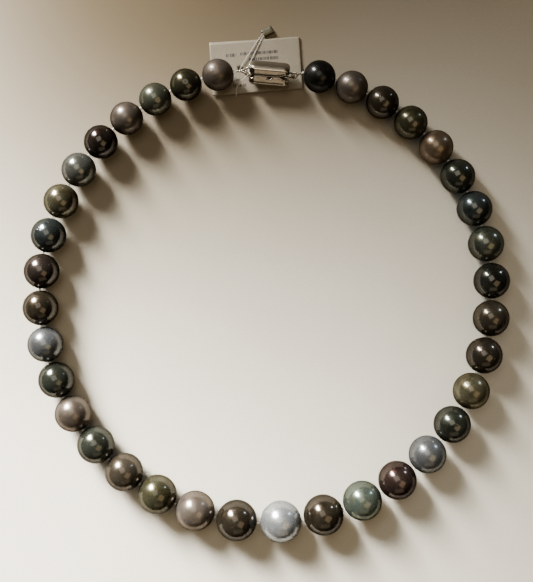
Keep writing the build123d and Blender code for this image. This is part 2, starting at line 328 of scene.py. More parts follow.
def print_row(shader, place, left, right, middle, height, density):
    """A row of plain upright dashes of uneven weight, from left to right, as a mask from 0 to 1."""
    parts = shader.node("ShaderNodeSeparateXYZ")
    shader.wire(place, parts.inputs[0])
    across, up, _ = parts.outputs
    line = shader.node("ShaderNodeCombineXYZ")
    shader.wire(across, line.inputs[0])
    line.inputs[1].default_value = middle
    strokes = shader.math("GREATER_THAN", shader.noise(line.outputs[0], density, 2.0, 0.7), DASH_GAP)
    inside = shader.math("COMPARE", across, (left + right) / 2)
    inside.node.inputs[2].default_value = (right - left) / 2
    level = shader.math("COMPARE", up, middle)
    level.node.inputs[2].default_value = height / 2
    return shader.math("MULTIPLY", shader.math("MULTIPLY", inside, level), strokes)


# Paper colours darkened to brown as painted shade over white label paper.
SHADED_PAPER_DARK = (0.18, 0.15, 0.103)
SHADED_PAPER_LIGHT = (0.212, 0.18, 0.132)
SHADED_PAPER_CLOUD = (0.16, 0.128, 0.088)
INK = (0.02, 0.018, 0.016)
INK_STRENGTH = 0.9
# Each row of dashes: left end, right end, middle and height in millimetres on the label, then density.
DASH_ROWS = (
    (-9.6, -5.9, 3.7, 1.05, 1.5), (-4.6, 7.0, 3.9, 0.95, 2.6), (-2.3, 7.0, 2.05, 0.95, 2.9),
    (-7.6, -4.6, -4.0, 0.8, 2.1), (-7.4, -3.2, -5.7, 0.9, 1.9),
)


def paper_material(name, centre, turn):
    """Coated label paper with faint fibres, darkened as painted shade, and rows of plain dashes in place of
    print.
    """
    shader = Shader(name)
    shader.set(Roughness=0.55)
    place = shader.millimetres(tuple(centre), turn=(0, 0, -turn))
    fibre = shader.noise(place, 1.8, 5.0, 0.65)
    cloud = shader.noise(place, 0.25, 3.0, 0.6)
    plain = shader.mix(shader.span(fibre, 0.0, 1.0, 0.35, 0.65), SHADED_PAPER_DARK, SHADED_PAPER_LIGHT)
    toned = shader.mix(shader.span(cloud, 0.0, 0.4, 0.4, 0.7), plain, SHADED_PAPER_CLOUD)
    ink = 0.0
    for left, right, middle, height, density in DASH_ROWS:
        row = print_row(shader, place, left, right, middle, height, density)
        ink = shader.math("ADD", row, ink)
    shader.feed("Base Color", shader.mix(shader.math("MULTIPLY", ink, INK_STRENGTH), toned, INK))
    shader.feed("Normal", shader.bump(fibre, 0.00002, 0.5))
    return shader.material


CLOTH_DARK = (0.53, 0.49, 0.40)
CLOTH_LIGHT = (0.585, 0.54, 0.45)
CLOTH_CLOUD = (0.50, 0.455, 0.365)
# Painted shade: a brown laid on the cloth towards the clasp's side, where the light is dim.
CLOTH_PAINTED_SHADE = (0.112, 0.082, 0.042)
# The painted shade's centre and where it begins to fade and ends, in millimetres.
PAINTED_SHADE_CENTRE = (-30, 108, 0)
PAINTED_SHADE_REACH = (18.0, 170.0)


def cloth_floor_material():
    """Pale matt covering with a fine nap, browned towards the clasp's side as painted shade."""
    shader = Shader("floor_cloth")
    shader.set(Roughness=0.95)
    place = shader.millimetres()
    reach = shader.node("ShaderNodeVectorMath", operation="DISTANCE")
    shader.wire(place, reach.inputs[0])
    reach.inputs[1].default_value = PAINTED_SHADE_CENTRE
    far = shader.span(reach.outputs["Value"], 1.0, 0.0, *PAINTED_SHADE_REACH)
    far.node.interpolation_type = "SMOOTHSTEP"
    nap = shader.noise(place, 1.4, 4.0, 0.65)
    cloud = shader.noise(place, 0.03, 3.0, 0.5)
    pale = shader.mix(shader.span(nap, 0.0, 1.0, 0.3, 0.7), CLOTH_DARK, CLOTH_LIGHT)
    clouded = shader.mix(shader.span(cloud, 0.0, 0.3, 0.4, 0.65), pale, CLOTH_CLOUD)
    # Painted shade: the cloth turns brown towards the clasp's side.
    shader.feed("Base Color", shader.mix(far, clouded, CLOTH_PAINTED_SHADE))
    shader.feed("Normal", shader.bump(nap, 0.00006, 0.5))
    return shader.material


# ---------------------------------------------------------------- where the pearls and knots are

def joint_points():
    """Each knot's place by the two bodies it joins."""
    return {(j["parent"], j["child"]): Vector(j["pos_m"]) for j in frame["joints"]}


def pearl_places():
    """Number to (middle, radius, knot above, knot below) for each pearl, above being nearer the clasp."""
    points = joint_points()
    by_child = {child: point for (_, child), point in points.items()}
    by_parent = {parent: point for (parent, _), point in points.items() if parent.startswith("pearl")}
    places = {}
    for number in range(1, PEARLS + 1):
        body = f"pearl_{number:02d}"
        low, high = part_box(body)
        radius = (high.z - low.z) / 2
        middle = (low + high) / 2
        above = by_child[body]
        below = by_parent.get(body)
        if number in (1, PEARLS):
            reach = radius + KNOT_GAP / 2
            drop = middle.y - below.y, middle.z - below.z
            sign = 1 if number == 1 else -1
            middle.x = below.x + sign * math.sqrt(reach**2 - drop[0] ** 2 - drop[1] ** 2)
            above = middle * 2 - below
        elif below is None:
            other = by_child[body]
            sign = 1 if number == PER_SIDE else -1
            reach = (radius * 2 + (KNOT_GAP + BOTTOM_GAP) / 2) / 2
            drop = middle.y - other.y, middle.z - other.z
            middle.x = other.x + sign * math.sqrt(reach**2 - drop[0] ** 2 - drop[1] ** 2)
            below = middle * 2 - above
        else:
            middle = (above + below) / 2
        places[number] = (middle, radius, above, below)
    return places


places = pearl_places()

# ---------------------------------------------------------------- pearls

AROUND = 88
ALONG = 50
BORE_STEPS = 6


def drilled_ball(middle, axis, radius):
    """Vertices and faces of a ball drilled through along an axis, closed by the bore's wall."""
    side, other = frame_along(axis)
    rim = math.asin(BORE / radius)
    rings = []
    for i in range(ALONG + 1):
        turn = rim + (math.pi - 2 * rim) * i / ALONG
        rings.append((radius * math.cos(turn), radius * math.sin(turn)))
    end = radius * math.cos(rim)
    for i in range(1, BORE_STEPS):
        rings.append((-end + 2 * end * i / BORE_STEPS, BORE * 0.97))
    vertices = []
    for along, out in rings:
        for k in range(AROUND):
            turn = 2 * math.pi * k / AROUND
            vertices.append(middle + axis * along + (side * math.cos(turn) + other * math.sin(turn)) * out)
    faces = []
    count = len(rings)
    for i in range(count):
        low, high = i * AROUND, ((i + 1) % count) * AROUND
        for k in range(AROUND):
            after = (k + 1) % AROUND
            faces.append((low + k, high + k, high + after, low + after))
    return vertices, faces


def surface_point(seen):
    """Direction from a pearl's middle to the spot seen from above at these shares of its radius."""
    x, y = seen
    return Vector((x, y, math.sqrt(max(0.0, 1 - x * x - y * y))))


def pearl_piece(number, tone, shade, pits, rings, roundness, dull):
    """One pearl with its pits, growth rings and slightly uneven shape, each cut into the mesh."""
    middle, radius, above, below = places[number]
    axis = (above - below).normalized()
    vertices, faces = drilled_ball(middle, axis, radius)
    piece = link_mesh(f"pearl_{number:02d}_nacre", vertices, faces)
    mesh = bmesh.new()
    mesh.from_mesh(piece.data)
    spots = [(surface_point(seen), size * MM, depth * MM) for seen, size, depth in pits]
    for direction, size, _ in spots:
        for fine in (2.6, 1.9):
            near = [edge for edge in mesh.edges if all(
                (v.co - middle - direction * radius).length < size * fine + 0.0002 for v in edge.verts)]
            if near and edge_length(near) > size * 0.22:
                bmesh.ops.subdivide_edges(mesh, edges=near, cuts=1, use_grid_fill=True)
    drift = Vector((number * 7.3, number * 3.1, number * 5.7))
    for vertex in mesh.verts:
        arm = vertex.co - middle
        out = arm - axis * arm.dot(axis)
        if out.length < BORE * 1.06:
            continue
        way = arm.normalized()
        sink = roundness * radius * (0.5 + 0.5 * noise.noise(way * 0.9 + drift))
        sink += 0.0015 * radius * (0.5 + 0.5 * noise.noise(way * 3.2 + drift))
        along = arm.dot(axis) / radius
        for place, width, depth in rings:
            sink += depth * MM * math.exp(-((along - place) / width) ** 2)
        for direction, size, depth in spots:
            away = (way - direction).length * radius / size
            if away < 3:
                sink += depth * (math.exp(-(away**2) * 1.6) - 0.16 * math.exp(-((away - 1.5) ** 2) * 5))
        vertex.co = middle + way * (arm.length - sink)
    mesh.to_mesh(piece.data)
    mesh.free()
    piece.data.shade_smooth()
    piece.data.materials.append(nacre(f"nacre_{number:02d}", tone, shade, middle, axis, number, dull))
    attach(piece, f"pearl_{number:02d}")
    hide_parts(f"pearl_{number:02d}")


def edge_length(edges):
    return sum(edge.calc_length() for edge in edges) / len(edges)


# Tone of each pearl from the clasp's left end round to its right end, its shade, how dull it is, and the
# blemishes seen on it: (across, up) as shares of its radius, radius and depth in millimetres.
STRAND = [
    ("rose", 0.38, 0.9, [((-0.15, -0.35), 0.5, 0.05), ((-0.35, 0.1), 0.35, 0.03)]),
    ("olive", 0.34, 0.2, [((0.1, -0.05), 0.55, 0.07), ((-0.1, -0.3), 0.3, 0.04)]),
    ("pistachio", 0.46, 0.2, [((0.25, -0.2), 0.6, 0.05)]),
    ("rose", 0.31, 0.5, [((-0.2, -0.4), 0.5, 0.03)]),
    ("aubergine", 0.29, 0.0, [((-0.25, -0.3), 0.25, 0.05)]),
    ("pewter", 0.34, 0.0, [((-0.6, -0.6), 0.2, 0.04)]),
    ("bronze", 0.50, 0.0, [((-0.5, -0.1), 0.2, 0.05), ((-0.47, -0.3), 0.22, 0.06),
                      ((-0.47, -0.6), 0.24, 0.06)]),
    ("blue", 0.45, 0.0, [((-0.4, 0.3), 0.22, 0.07), ((-0.3, 0.42), 0.2, 0.06), ((-0.22, 0.28), 0.2, 0.06)]),
    ("aubergine", 0.33, 0.0, [((0.2, 0.35), 0.22, 0.04)]),
    ("brown", 0.50, 0.1, [((0.1, -0.35), 0.4, 0.05)]),
    ("silver", 0.22, 0.15, [((0.45, 0.3), 0.25, 0.06), ((0.15, -0.1), 0.3, 0.06), ((0.35, 0.05), 0.2, 0.05),
                      ((0.0, -0.5), 0.5, 0.06)]),
    ("green", 0.34, 0.0, [((0.35, 0.2), 0.2, 0.05)]),
    ("rose", 0.39, 0.35, []),
    ("green", 0.47, 0.0, [((-0.05, 0.2), 0.22, 0.05), ((0.1, -0.3), 0.4, 0.04)]),
    ("taupe", 0.36, 0.1, []),
    ("olive", 0.53, 0.0, [((0.2, 0.3), 0.3, 0.03)]),
    ("rose", 0.46, 0.25, [((0.3, -0.3), 0.35, 0.04)]),
    ("brown", 0.49, 0.0, [((-0.17, -0.03), 0.32, 0.10), ((0.3, 0.22), 0.14, 0.04)]),
    ("silver", 0.68, 0.05, [((0.4, 0.1), 0.16, 0.04), ((0.28, 0.02), 0.14, 0.03),
                      ((0.42, -0.02), 0.16, 0.04)]),
    ("brown", 0.58, 0.0, [((0.42, 0.28), 0.22, 0.05), ((0.7, 0.35), 0.2, 0.05)]),
    ("teal", 0.76, 0.05, [((0.45, 0.0), 0.4, 0.08)]),
    ("cherry", 0.49, 0.0, [((0.2, 0.35), 0.2, 0.04)]),
    ("silver", 0.32, 0.15, [((0.3, 0.3), 0.2, 0.03)]),
    ("green", 0.55, 0.0, [((0.05, 0.1), 0.28, 0.09)]),
    ("bronze", 0.88, 0.25, [((0.25, 0.1), 0.3, 0.03)]),
    ("taupe", 0.29, 0.0, [((0.1, 0.2), 0.4, 0.10), ((0.3, -0.1), 0.3, 0.07)]),
    ("taupe", 0.38, 0.15, [((0.2, -0.2), 0.4, 0.04)]),
    ("black", 0.68, 0.0, [((0.35, 0.5), 0.2, 0.04)]),
    ("green", 1.00, 0.1, [((0.1, 0.18), 0.3, 0.10), ((0.2, 0.0), 0.24, 0.05)]),
    ("blue", 0.72, 0.1, [((0.35, 0.1), 0.3, 0.04)]),
    ("green", 0.53, 0.1, [((0.2, 0.3), 0.35, 0.04)]),
    ("copper", 0.62, 0.45, [((0.2, 0.1), 0.3, 0.04)]),
    ("olive", 0.56, 0.25, [((0.15, 0.2), 0.35, 0.09)]),
    ("brown", 0.55, 0.3, [((0.0, -0.2), 0.9, 0.05), ((0.3, 0.1), 0.4, 0.04)]),
    ("rose", 0.35, 0.8, [((0.2, -0.2), 0.5, 0.04)]),
    ("black", 0.30, 0.9, [((0.1, 0.2), 0.5, 0.04)]),
]
# How many extra small pits the roughest pearls have.
HEAVILY_PITTED = {13: 46, 11: 9, 35: 6, 32: 7}


def speckle(rng, count, size, spread=0.8):
    """Small pits scattered over the upper side of a pearl."""
    pits = []
    for _ in range(count):
        turn = rng.uniform(0, 2 * math.pi)
        out = spread * math.sqrt(rng.random())
        pits.append(((out * math.cos(turn), out * math.sin(turn)), size * rng.uniform(0.7, 1.3),
                     size * rng.uniform(0.12, 0.22)))
    return pits


def make_pearls():
    """Every pearl in order, with its random pits, growth rings and roundness drawn in that order."""
    rng = random.Random(36)
    for number, (tone, shade, dull, blemishes) in enumerate(STRAND, 1):
        pits = blemishes + speckle(rng, rng.randint(1, 4), 0.14)
        pits += speckle(rng, HEAVILY_PITTED.get(number, 0), 0.15)
        rings = [(rng.uniform(-0.7, 0.7), 0.05, rng.uniform(0.006, 0.016)) for _ in range(2)]
        pearl_piece(number, tone, shade, pits, rings, rng.uniform(0.006, 0.014), dull)


make_pearls()

# ---------------------------------------------------------------- silk and its knots

# Silk near white, raised above its own colour as painted highlight so the knots glint in the shade between
# pearls.
SILK_LIGHT_AND_GLINT = (0.95, 0.93, 0.87)
SILK_DARK_AND_GLINT = (0.66, 0.64, 0.58)
silk_material = thread_material("silk_thread", SILK_LIGHT_AND_GLINT, SILK_DARK_AND_GLINT)
SILK_RADIUS = 0.23 * MM
SILK_PLIES = 3
PLY_TURNS = 9
KNOT_SIZE = 0.40 * MM
KNOT_STEPS = 54
KNOT_CLEARANCE = 0.6 * MM


def plies(name, start, end, radius, count, turns):
    """Twisted plies from one point to another."""
    side, other = frame_along(end - start)
    strands = []
    for ply in range(count):
        path = []
        for i in range(turns * 10 + 1):
            share = i / (turns * 10)
            turn = 2 * math.pi * (share * turns + ply / count)
            offset = side * math.cos(turn) + other * math.sin(turn)
            path.append(start.lerp(end, share) + offset * radius * 0.52)
        strands.append(tube(f"{name}_ply_{ply}", path, radius * 0.52, 6))
    return strands


def knot(name, place, axis, size):
    """An overhand knot pulled tight: one closed trefoil of silk about the thread."""
    side, other = frame_along(axis)
    path = []
    for i in range(KNOT_STEPS):
        turn = 2 * math.pi * i / KNOT_STEPS
        out = size * (0.50 + 0.22 * math.cos(3 * turn))
        lift = size * 0.24 * math.sin(3 * turn)
        path.append(place + (side * math.cos(2 * turn) + other * math.sin(2 * turn)) * out + axis * lift)
    return tube(name, path, size * 0.26, 8, closed=True)


def make_silk():
    """Each pearl's own length of silk, with the knot below it and clear of the knot above."""
    for number, (_, _, above, below) in places.items():
        axis = (above - below).normalized()
        name = f"silk_{number:02d}"
        loose_end = number == PER_SIDE + 1
        start = below + axis * (KNOT_CLEARANCE if loose_end else 0.0)
        end = above if number in (1, PEARLS) else above - axis * KNOT_CLEARANCE
        pieces = plies(name, start, end, SILK_RADIUS, SILK_PLIES, PLY_TURNS)
        if not loose_end:
            pieces.append(knot(name + "_knot_below", below, axis, KNOT_SIZE))
        if number in (1, PEARLS):
            pieces.append(knot(name + "_knot_above", above, axis, KNOT_SIZE))
        silk = joined(name, pieces)
        silk.data.materials.append(silk_material)
        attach(silk, f"pearl_{number:02d}")


make_silk()

# ---------------------------------------------------------------- clasp

CLASP_YAW = math.radians(-5)
CLASP_ROLL = math.radians(55)
CLASP_LENGTH = 12.3 * MM
CLASP_WIDTH = 5.9 * MM
SHELL_DEPTH = 3.1 * MM
SHELL_WALL = 0.5 * MM
CORNER = 1.8 * MM
DOME = 1.1 * MM
PIN_INSET = 0.55 * MM
POST_INSET = 2.2 * MM
hinge = next(j for j in frame["joints"] if j["name"] == "clasp_lid_hinge")
clasp_x = Vector((math.cos(CLASP_YAW), math.sin(CLASP_YAW), 0))
clasp_z = (Vector((-math.sin(CLASP_YAW), math.cos(CLASP_YAW), 0)) * math.sin(CLASP_ROLL)
           + UP * math.cos(CLASP_ROLL))
clasp_y = clasp_z.cross(clasp_x)
clasp_middle = Vector(hinge["pos_m"]) + clasp_x * (CLASP_LENGTH / 2 - PIN_INSET)


def clasp_point(x, y, z):
    """From the clasp's own frame, in metres, to the row frame."""
    return clasp_middle + clasp_x * x + clasp_y * y + clasp_z * z


def rounded_outline(half_x, half_y, corner, straight=26, arc=14):
    """Points of a rounded rectangle, anticlockwise from the right end's middle, with even runs."""
    points = []

    def run(first, last, count):
        for i in range(count):
            share = i / count
            points.append((first[0] + (last[0] - first[0]) * share,
                           first[1] + (last[1] - first[1]) * share))

    def bend(middle, start_turn):
        for i in range(arc):
            turn = math.radians(start_turn + 90 * i / arc)
            points.append((middle[0] + corner * math.cos(turn), middle[1] + corner * math.sin(turn)))

    inner_x, inner_y = half_x - corner, half_y - corner
    run((half_x, -inner_y), (half_x, inner_y), straight)
    bend((inner_x, inner_y), 0)
    run((inner_x, half_y), (-inner_x, half_y), 2 * straight)
    bend((-inner_x, inner_y), 90)
    run((-half_x, inner_y), (-half_x, -inner_y), straight)
    bend((-inner_x, -inner_y), 180)
    run((-inner_x, -half_y), (inner_x, -half_y), 2 * straight)
    bend((inner_x, -inner_y), 270)
    return points


def smooth_step(value, low, high):
    share = min(1.0, max(0.0, (value - low) / (high - low)))
    return share * share * (3 - 2 * share)


def lip_height(x, y, lid):
    """Height of a shell's edge over the split: wavy along the sides, cut back at ring, pin and mouth."""
    x, y = x / MM, y / MM
    height = 0.07
    height += 0.10 * (0.5 - 0.5 * math.cos(2 * math.pi * smooth_step(x, -5.0, 5.0))) * (-1 if lid else 1)
    height = max(height, 0.06)
    if lid:
        height += 0.42 * smooth_step(x, 1.5, 4.6)
    else:
        height += 0.10 * smooth_step(x, 2.5, 5.0)
    height += 0.62 * smooth_step(x, 3.6, 4.4) * (0.55 if lid else 0.85)
    pin = -6.15 + 0.55
    if abs(x - pin) < 0.70:
        height = max(height, 0.70)
    elif x < pin + 1.2:
        height = max(height, 0.70 * (1 - smooth_step(x, pin + 0.7, pin + 1.2)))
    if x < -5.9 and abs(y) < 0.95:
        height = max(height, 2.2 - 1.5 * smooth_step(abs(y), 0.66, 0.86))
    if not lid and y < 0 and abs(x - 0.2) < 0.85:
        height += 0.55 * math.sqrt(1 - ((x - 0.2) / 0.85) ** 2)
    return height * MM


def shell_piece(name, lid):
    """One clasp shell: rolled lip, side wall with a bead, rounded shoulder, crowned face and a hollow."""
    outline = rounded_outline(CLASP_LENGTH / 2, CLASP_WIDTH / 2, CORNER)
    count = len(outline)
    sign = 1 if lid else -1
    face = SHELL_DEPTH
    rows = []

    def ring(inset, height_at):
        """One closed row, drawn in by a distance, each point's height from its place on the outline."""
        half_x, half_y = CLASP_LENGTH / 2 - inset, CLASP_WIDTH / 2 - inset
        shrunk = rounded_outline(half_x, half_y, max(CORNER - inset, 0.12 * MM))
        rows.append([clasp_point(px, py, sign * height_at(ox, oy, px, py))
                     for (px, py), (ox, oy) in zip(shrunk, outline)])

    def lip(extra):
        return lambda ox, oy, px, py: lip_height(ox, oy, lid) + extra

    def mixed(share, top):
        return lambda ox, oy, px, py: lip_height(ox, oy, lid) * (1 - share) + top * share

    inside_top = SHELL_DEPTH - SHELL_WALL
    shoulder = DOME - SHELL_WALL
    for turn in (90, 60, 30, 0):
        out = math.cos(math.radians(turn)) * shoulder
        up = math.sin(math.radians(turn)) * shoulder
        level = inside_top - shoulder + up
        ring(SHELL_WALL + shoulder - out,
             lambda ox, oy, px, py, level=level: max(level, lip_height(ox, oy, lid)))
    ring(SHELL_WALL, mixed(0.5, inside_top - shoulder))
    ring(SHELL_WALL, lip(0.06 * MM))
    ring(SHELL_WALL - 0.06 * MM, lip(0.0))
    ring(0.10 * MM, lip(0.0))
    ring(0.04 * MM, lip(0.03 * MM))
    ring(0.01 * MM, lip(0.10 * MM))
    ring(0.0, lip(0.20 * MM))
    ring(0.03 * MM, lip(0.32 * MM))
    side_top = SHELL_DEPTH - DOME

    def clear(level, rise):
        """A level row, held a little above the lip where the end ring's slot is cut."""
        return lambda ox, oy, px, py: max(level, lip_height(ox, oy, lid) + rise)

    for share in (0.5, 0.8):
        ring(0.035 * MM, lambda ox, oy, px, py, share=share: max(
            lip_height(ox, oy, lid) + 0.36 * MM,
            (lip_height(ox, oy, lid) + 0.34 * MM) * (1 - share) + side_top * share))
    ring(0.0, clear(side_top - 0.05 * MM, 0.38 * MM))
    ring(-0.03 * MM, clear(side_top + 0.08 * MM, 0.40 * MM))
    ring(0.08 * MM, clear(side_top + 0.22 * MM, 0.42 * MM))
    for turn in (22, 36, 50, 64, 78, 90):
        out = math.cos(math.radians(turn)) * DOME
        up = math.sin(math.radians(turn)) * DOME
        ring(DOME - out + 0.05 * MM, clear(side_top + up - 0.08 * MM, (0.42 + turn / 1000) * MM))
    for share in (0.35, 0.6, 0.8, 0.94):
        inset = DOME + 0.05 * MM + (CLASP_WIDTH / 2 - DOME - 0.1 * MM) * share
        ring(inset, lambda ox, oy, px, py: (
            face - 0.08 * MM + 0.20 * MM * (1 - (2 * py / (CLASP_WIDTH - 2 * DOME)) ** 2)))
    vertices = [point for row in rows for point in row]
    faces = []
    for i in range(len(rows) - 1):
        for k in range(count):
            after = (k + 1) % count
            quad = (i * count + k, i * count + after, (i + 1) * count + after, (i + 1) * count + k)
            faces.append(quad if lid else tuple(reversed(quad)))
    first = tuple(range(count))
    last = tuple(range((len(rows) - 1) * count, len(rows) * count))
    faces.append(tuple(reversed(first)) if lid else first)
    faces.append(last if lid else tuple(reversed(last)))
    piece = link_mesh(name, vertices, faces)
    return piece, count, len(rows)


DOME_ROWS = 10


def paint_shell(piece, count, rows, polished, satin):
    """Satin on the domed face, polish on the wall and the lips."""
    piece.data.materials.append(polished)
    piece.data.materials.append(satin)
    satin_from = (rows - DOME_ROWS) * count
    for polygon in piece.data.polygons:
        if polygon.index >= satin_from and polygon.index != len(piece.data.polygons) - 2:
            polygon.material_index = 1


# Metal colours darkened and warmed as painted shade and painted reflection of dim brown surroundings; the
# clasp, rings and crimp are white metal and tin.
WHITE_METAL_WARM_REFLECTION = (0.50, 0.455, 0.375)
SATIN_METAL_SHADED = (0.215, 0.183, 0.138)
WIRE_METAL_SHADED = (0.34, 0.30, 0.245)
TIN_SHADED = (0.115, 0.11, 0.08)
along_clasp = (0, 0, -CLASP_YAW)
polished_metal = bright_metal("clasp_polished", WHITE_METAL_WARM_REFLECTION, 0.10, 0.07, (0.3, 2.0, 2.0),
                              tuple(clasp_middle), along_clasp)
satin_metal = bright_metal("clasp_satin", SATIN_METAL_SHADED, 0.30, 0.12, (0.18, 3.0, 3.0),
                           tuple(clasp_middle), along_clasp, 0.00003)
wire_metal = bright_metal("ring_wire", WIRE_METAL_SHADED, 0.12, 0.10, (1.0, 1.0, 1.0))
bullion_metal = bright_metal("bullion_wire", WIRE_METAL_SHADED, 0.16, 0.12)
crimp_metal = bright_metal("crimp_tin", TIN_SHADED, 0.24, 0.18, (1.0, 1.0, 1.0), bite=0.00003)


def make_clasp():
    lid, count, rows = shell_piece("clasp_lid", True)
    paint_shell(lid, count, rows, polished_metal, satin_metal)
    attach(lid, "clasp_lid")
    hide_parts("clasp_lid_shell")
    base, count, rows = shell_piece("clasp_base", False)
    paint_shell(base, count, rows, polished_metal, satin_metal)
    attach(base, "clasp")
    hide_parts("clasp_base_shell")
    for node in ("clasp_hinge_pin", "clasp_hook_post", "clasp_snap_socket"):
        nodes[node].data.materials.clear()
        nodes[node].data.materials.append(polished_metal)


make_clasp()

# ---------------------------------------------------------------- rings and bullion loops

RING_WIRE = 0.26 * MM
LEFT_RING = 1.25 * MM
RIGHT_RING = 2.15 * MM
left_x = -CLASP_LENGTH / 2 + PIN_INSET - (LEFT_RING - RING_WIRE - 0.37 * MM)
right_x = CLASP_LENGTH / 2 - POST_INSET + (RIGHT_RING - RING_WIRE - 0.47 * MM)


def jump_ring(name, middle, first, second, radius, cut, body, node):
    """A closed ring of wire with the hairline butt joint where it was pressed shut."""
    steps = 96
    half_cut = 0.035 * MM / radius
    path = []
    for i in range(steps + 1):
        turn = cut + half_cut + (2 * math.pi - 2 * half_cut) * i / steps
        path.append(middle + first * (radius * math.cos(turn)) + second * (radius * math.sin(turn)))
    piece = tube(name, path, RING_WIRE, 16)
    piece.data.materials.append(wire_metal)
    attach(piece, body)
    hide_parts(node)


def bullion(side, body, wire_place, wire_along, knot_place):
    """A loop of fine coiled wire round the ring's wire, with its neck and silk core."""
    outward = (knot_place - wire_place).normalized()
    normal = (wire_along - outward * wire_along.dot(outward)).normalized()
    other = normal.cross(outward)
    centre = wire_place + outward * 0.10 * MM
    radius = 0.80 * MM
    coil_radius, wire_radius = 0.225 * MM, 0.068 * MM
    coils = 44
    path = []
    for i in range(coils * 9):
        share = i / (coils * 9)
        turn = 2 * math.pi * share
        spin = 2 * math.pi * coils * share
        way = outward * math.cos(turn) + other * math.sin(turn)
        out = way * (radius + coil_radius * math.cos(spin)) + normal * (coil_radius * math.sin(spin))
        path.append(centre + out)
    loop = tube(f"{side}_bullion_coil", path, wire_radius, 5, closed=True)
    neck_start = centre + outward * (radius + 0.2 * MM)
    neck_end = knot_place - outward * 0.44 * MM
    turns = max(3, round((neck_end - neck_start).length / (0.13 * MM)))
    neck_path = []
    for i in range(turns * 10 + 1):
        share = i / (turns * 10)
        spin = 2 * math.pi * turns * share
        neck_path.append(neck_start.lerp(neck_end, share)
                         + (other * math.cos(spin) + normal * math.sin(spin)) * 0.23 * MM)
    neck = tube(f"{side}_bullion_neck", neck_path, wire_radius, 5)
    sleeve = joined(f"{side}_bullion", [loop, neck])
    sleeve.data.materials.append(bullion_metal)
    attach(sleeve, body)
    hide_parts(f"{side}_bullion_loop")
    core_path = []
    for i in range(64):
        turn = 2 * math.pi * i / 64
        core_path.append(centre + (outward * math.cos(turn) + other * math.sin(turn)) * radius)
    core_loop = tube(f"{side}_core_loop", core_path, 0.15 * MM, 8, closed=True)
    core_neck = plies(f"{side}_core_neck", neck_start, knot_place - outward * 0.1 * MM, 0.15 * MM, 2, 6)
    core = joined(f"{side}_loop_core", [core_loop, *core_neck])
    core.data.materials.append(silk_material)
    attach(core, body)
    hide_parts(f"{side}_loop_silk")


def make_findings():
    jump_ring("left_ring", clasp_point(left_x, 0, 0), clasp_x, clasp_z, LEFT_RING, math.radians(200),
              "left_ring", "left_jump_ring")
    jump_ring("right_ring", clasp_point(right_x, 0, 0), clasp_x, clasp_y, RIGHT_RING, math.radians(60),
              "right_ring", "right_jump_ring")
    bullion("left", "pearl_01", clasp_point(left_x - LEFT_RING, 0, 0), clasp_z, places[1][2])
    bullion("right", "pearl_36", clasp_point(right_x + RIGHT_RING, 0, 0), clasp_y, places[PEARLS][2])


make_findings()

# ---------------------------------------------------------------- price label, its string and crimp

CIRCLE_MIDDLE = Vector((-0.015889, 1.332256, 0))
LABEL_CENTRE = (Vector((-3.1, 70.6, 0)) + CIRCLE_MIDDLE) * MM
LABEL_TURN = math.radians(4)
LABEL_SIZE = (27.8 * MM, 16.2 * MM)
LABEL_HOLE = (Vector((-7.9, 69.6, 0)) + CIRCLE_MIDDLE) * MM
PAPER = 0.12 * MM
LEAF_RISE = 0.62 * MM


def label_point(u, v, z):
    """From the label's own middle, along and across it, to the row frame."""
    cos, sin = math.cos(LABEL_TURN), math.sin(LABEL_TURN)
    return LABEL_CENTRE + Vector((u * cos - v * sin, u * sin + v * cos, z))


def make_label():
    """One folded sheet: lower leaf, round fold on the right, upper leaf a little askew and curled."""
    width, depth = LABEL_SIZE
    fold = (LEAF_RISE - PAPER) / 2 + PAPER / 2
    leaf_steps, fold_steps, across = 56, 8, 34
    profile = []
    for i in range(leaf_steps + 1):
        profile.append((-width / 2 + (width - fold) * i / leaf_steps, PAPER / 2, "lower"))
    for i in range(1, fold_steps):
        turn = math.pi * i / fold_steps - math.pi / 2
        profile.append((width / 2 - fold + fold * math.cos(turn) - PAPER / 2,
                        PAPER / 2 + fold + fold * math.sin(turn), "fold"))
    for i in range(leaf_steps + 1):
        profile.append((width / 2 - fold - (width - fold) * i / leaf_steps, PAPER / 2 + 2 * fold, "upper"))
    vertices = []
    for u, z, part in profile:
        for k in range(across + 1):
            v = -depth / 2 + depth * k / across
            lift, slide = 0.0, 0.0
            if part == "upper":
                left = max(0.0, (width / 2 - u) / width)
                lift = -0.10 * MM * left * (0.5 + 0.5 * math.sin(9 * left + 2 * v / depth))
                slide = -0.35 * MM * left + 0.06 * MM * math.sin(7 * left)
            if part == "lower":
                left = max(0.0, (width / 2 - u) / width)
                lift = 0.03 * MM * (0.5 + 0.5 * math.sin(8 * left + 3 * v / depth)) * left
                slide = 0.25 * MM * left
            vertices.append(label_point(u, v * 0.985 + slide, z + lift))
    rows = len(profile)
    hole = LABEL_HOLE
    faces = []
    for i in range(rows - 1):
        for k in range(across):
            a = i * (across + 1) + k
            quad = (a, a + across + 1, a + across + 2, a + 1)
            middle = sum((vertices[q] for q in quad), Vector()) / 4
            away = Vector((middle.x - hole.x, middle.y - hole.y)).length
            if profile[i][2] == "upper" and away < 0.80 * MM:
                continue
            faces.append(quad)
    label = link_mesh("price_label", vertices, faces)
    mesh = bmesh.new()
    mesh.from_mesh(label.data)
    bmesh.ops.delete(mesh, geom=[v for v in mesh.verts if not v.link_faces], context="VERTS")
    for vertex in mesh.verts:
        flat = Vector((vertex.co.x - hole.x, vertex.co.y - hole.y))
        if vertex.co.z > 0.5 * MM and vertex.is_boundary and flat.length < 1.4 * MM:
            flat = flat.normalized() * 0.80 * MM
            vertex.co.x, vertex.co.y = hole.x + flat.x, hole.y + flat.y
    mesh.to_mesh(label.data)
    mesh.free()
    thick = label.modifiers.new("thickness", "SOLIDIFY")
    thick.thickness = PAPER
    thick.offset = 0
    label.data.materials.append(paper_material("label_paper", LABEL_CENTRE + UP * 0.0006, LABEL_TURN))
    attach(label, "label")
    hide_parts("label")


make_label()

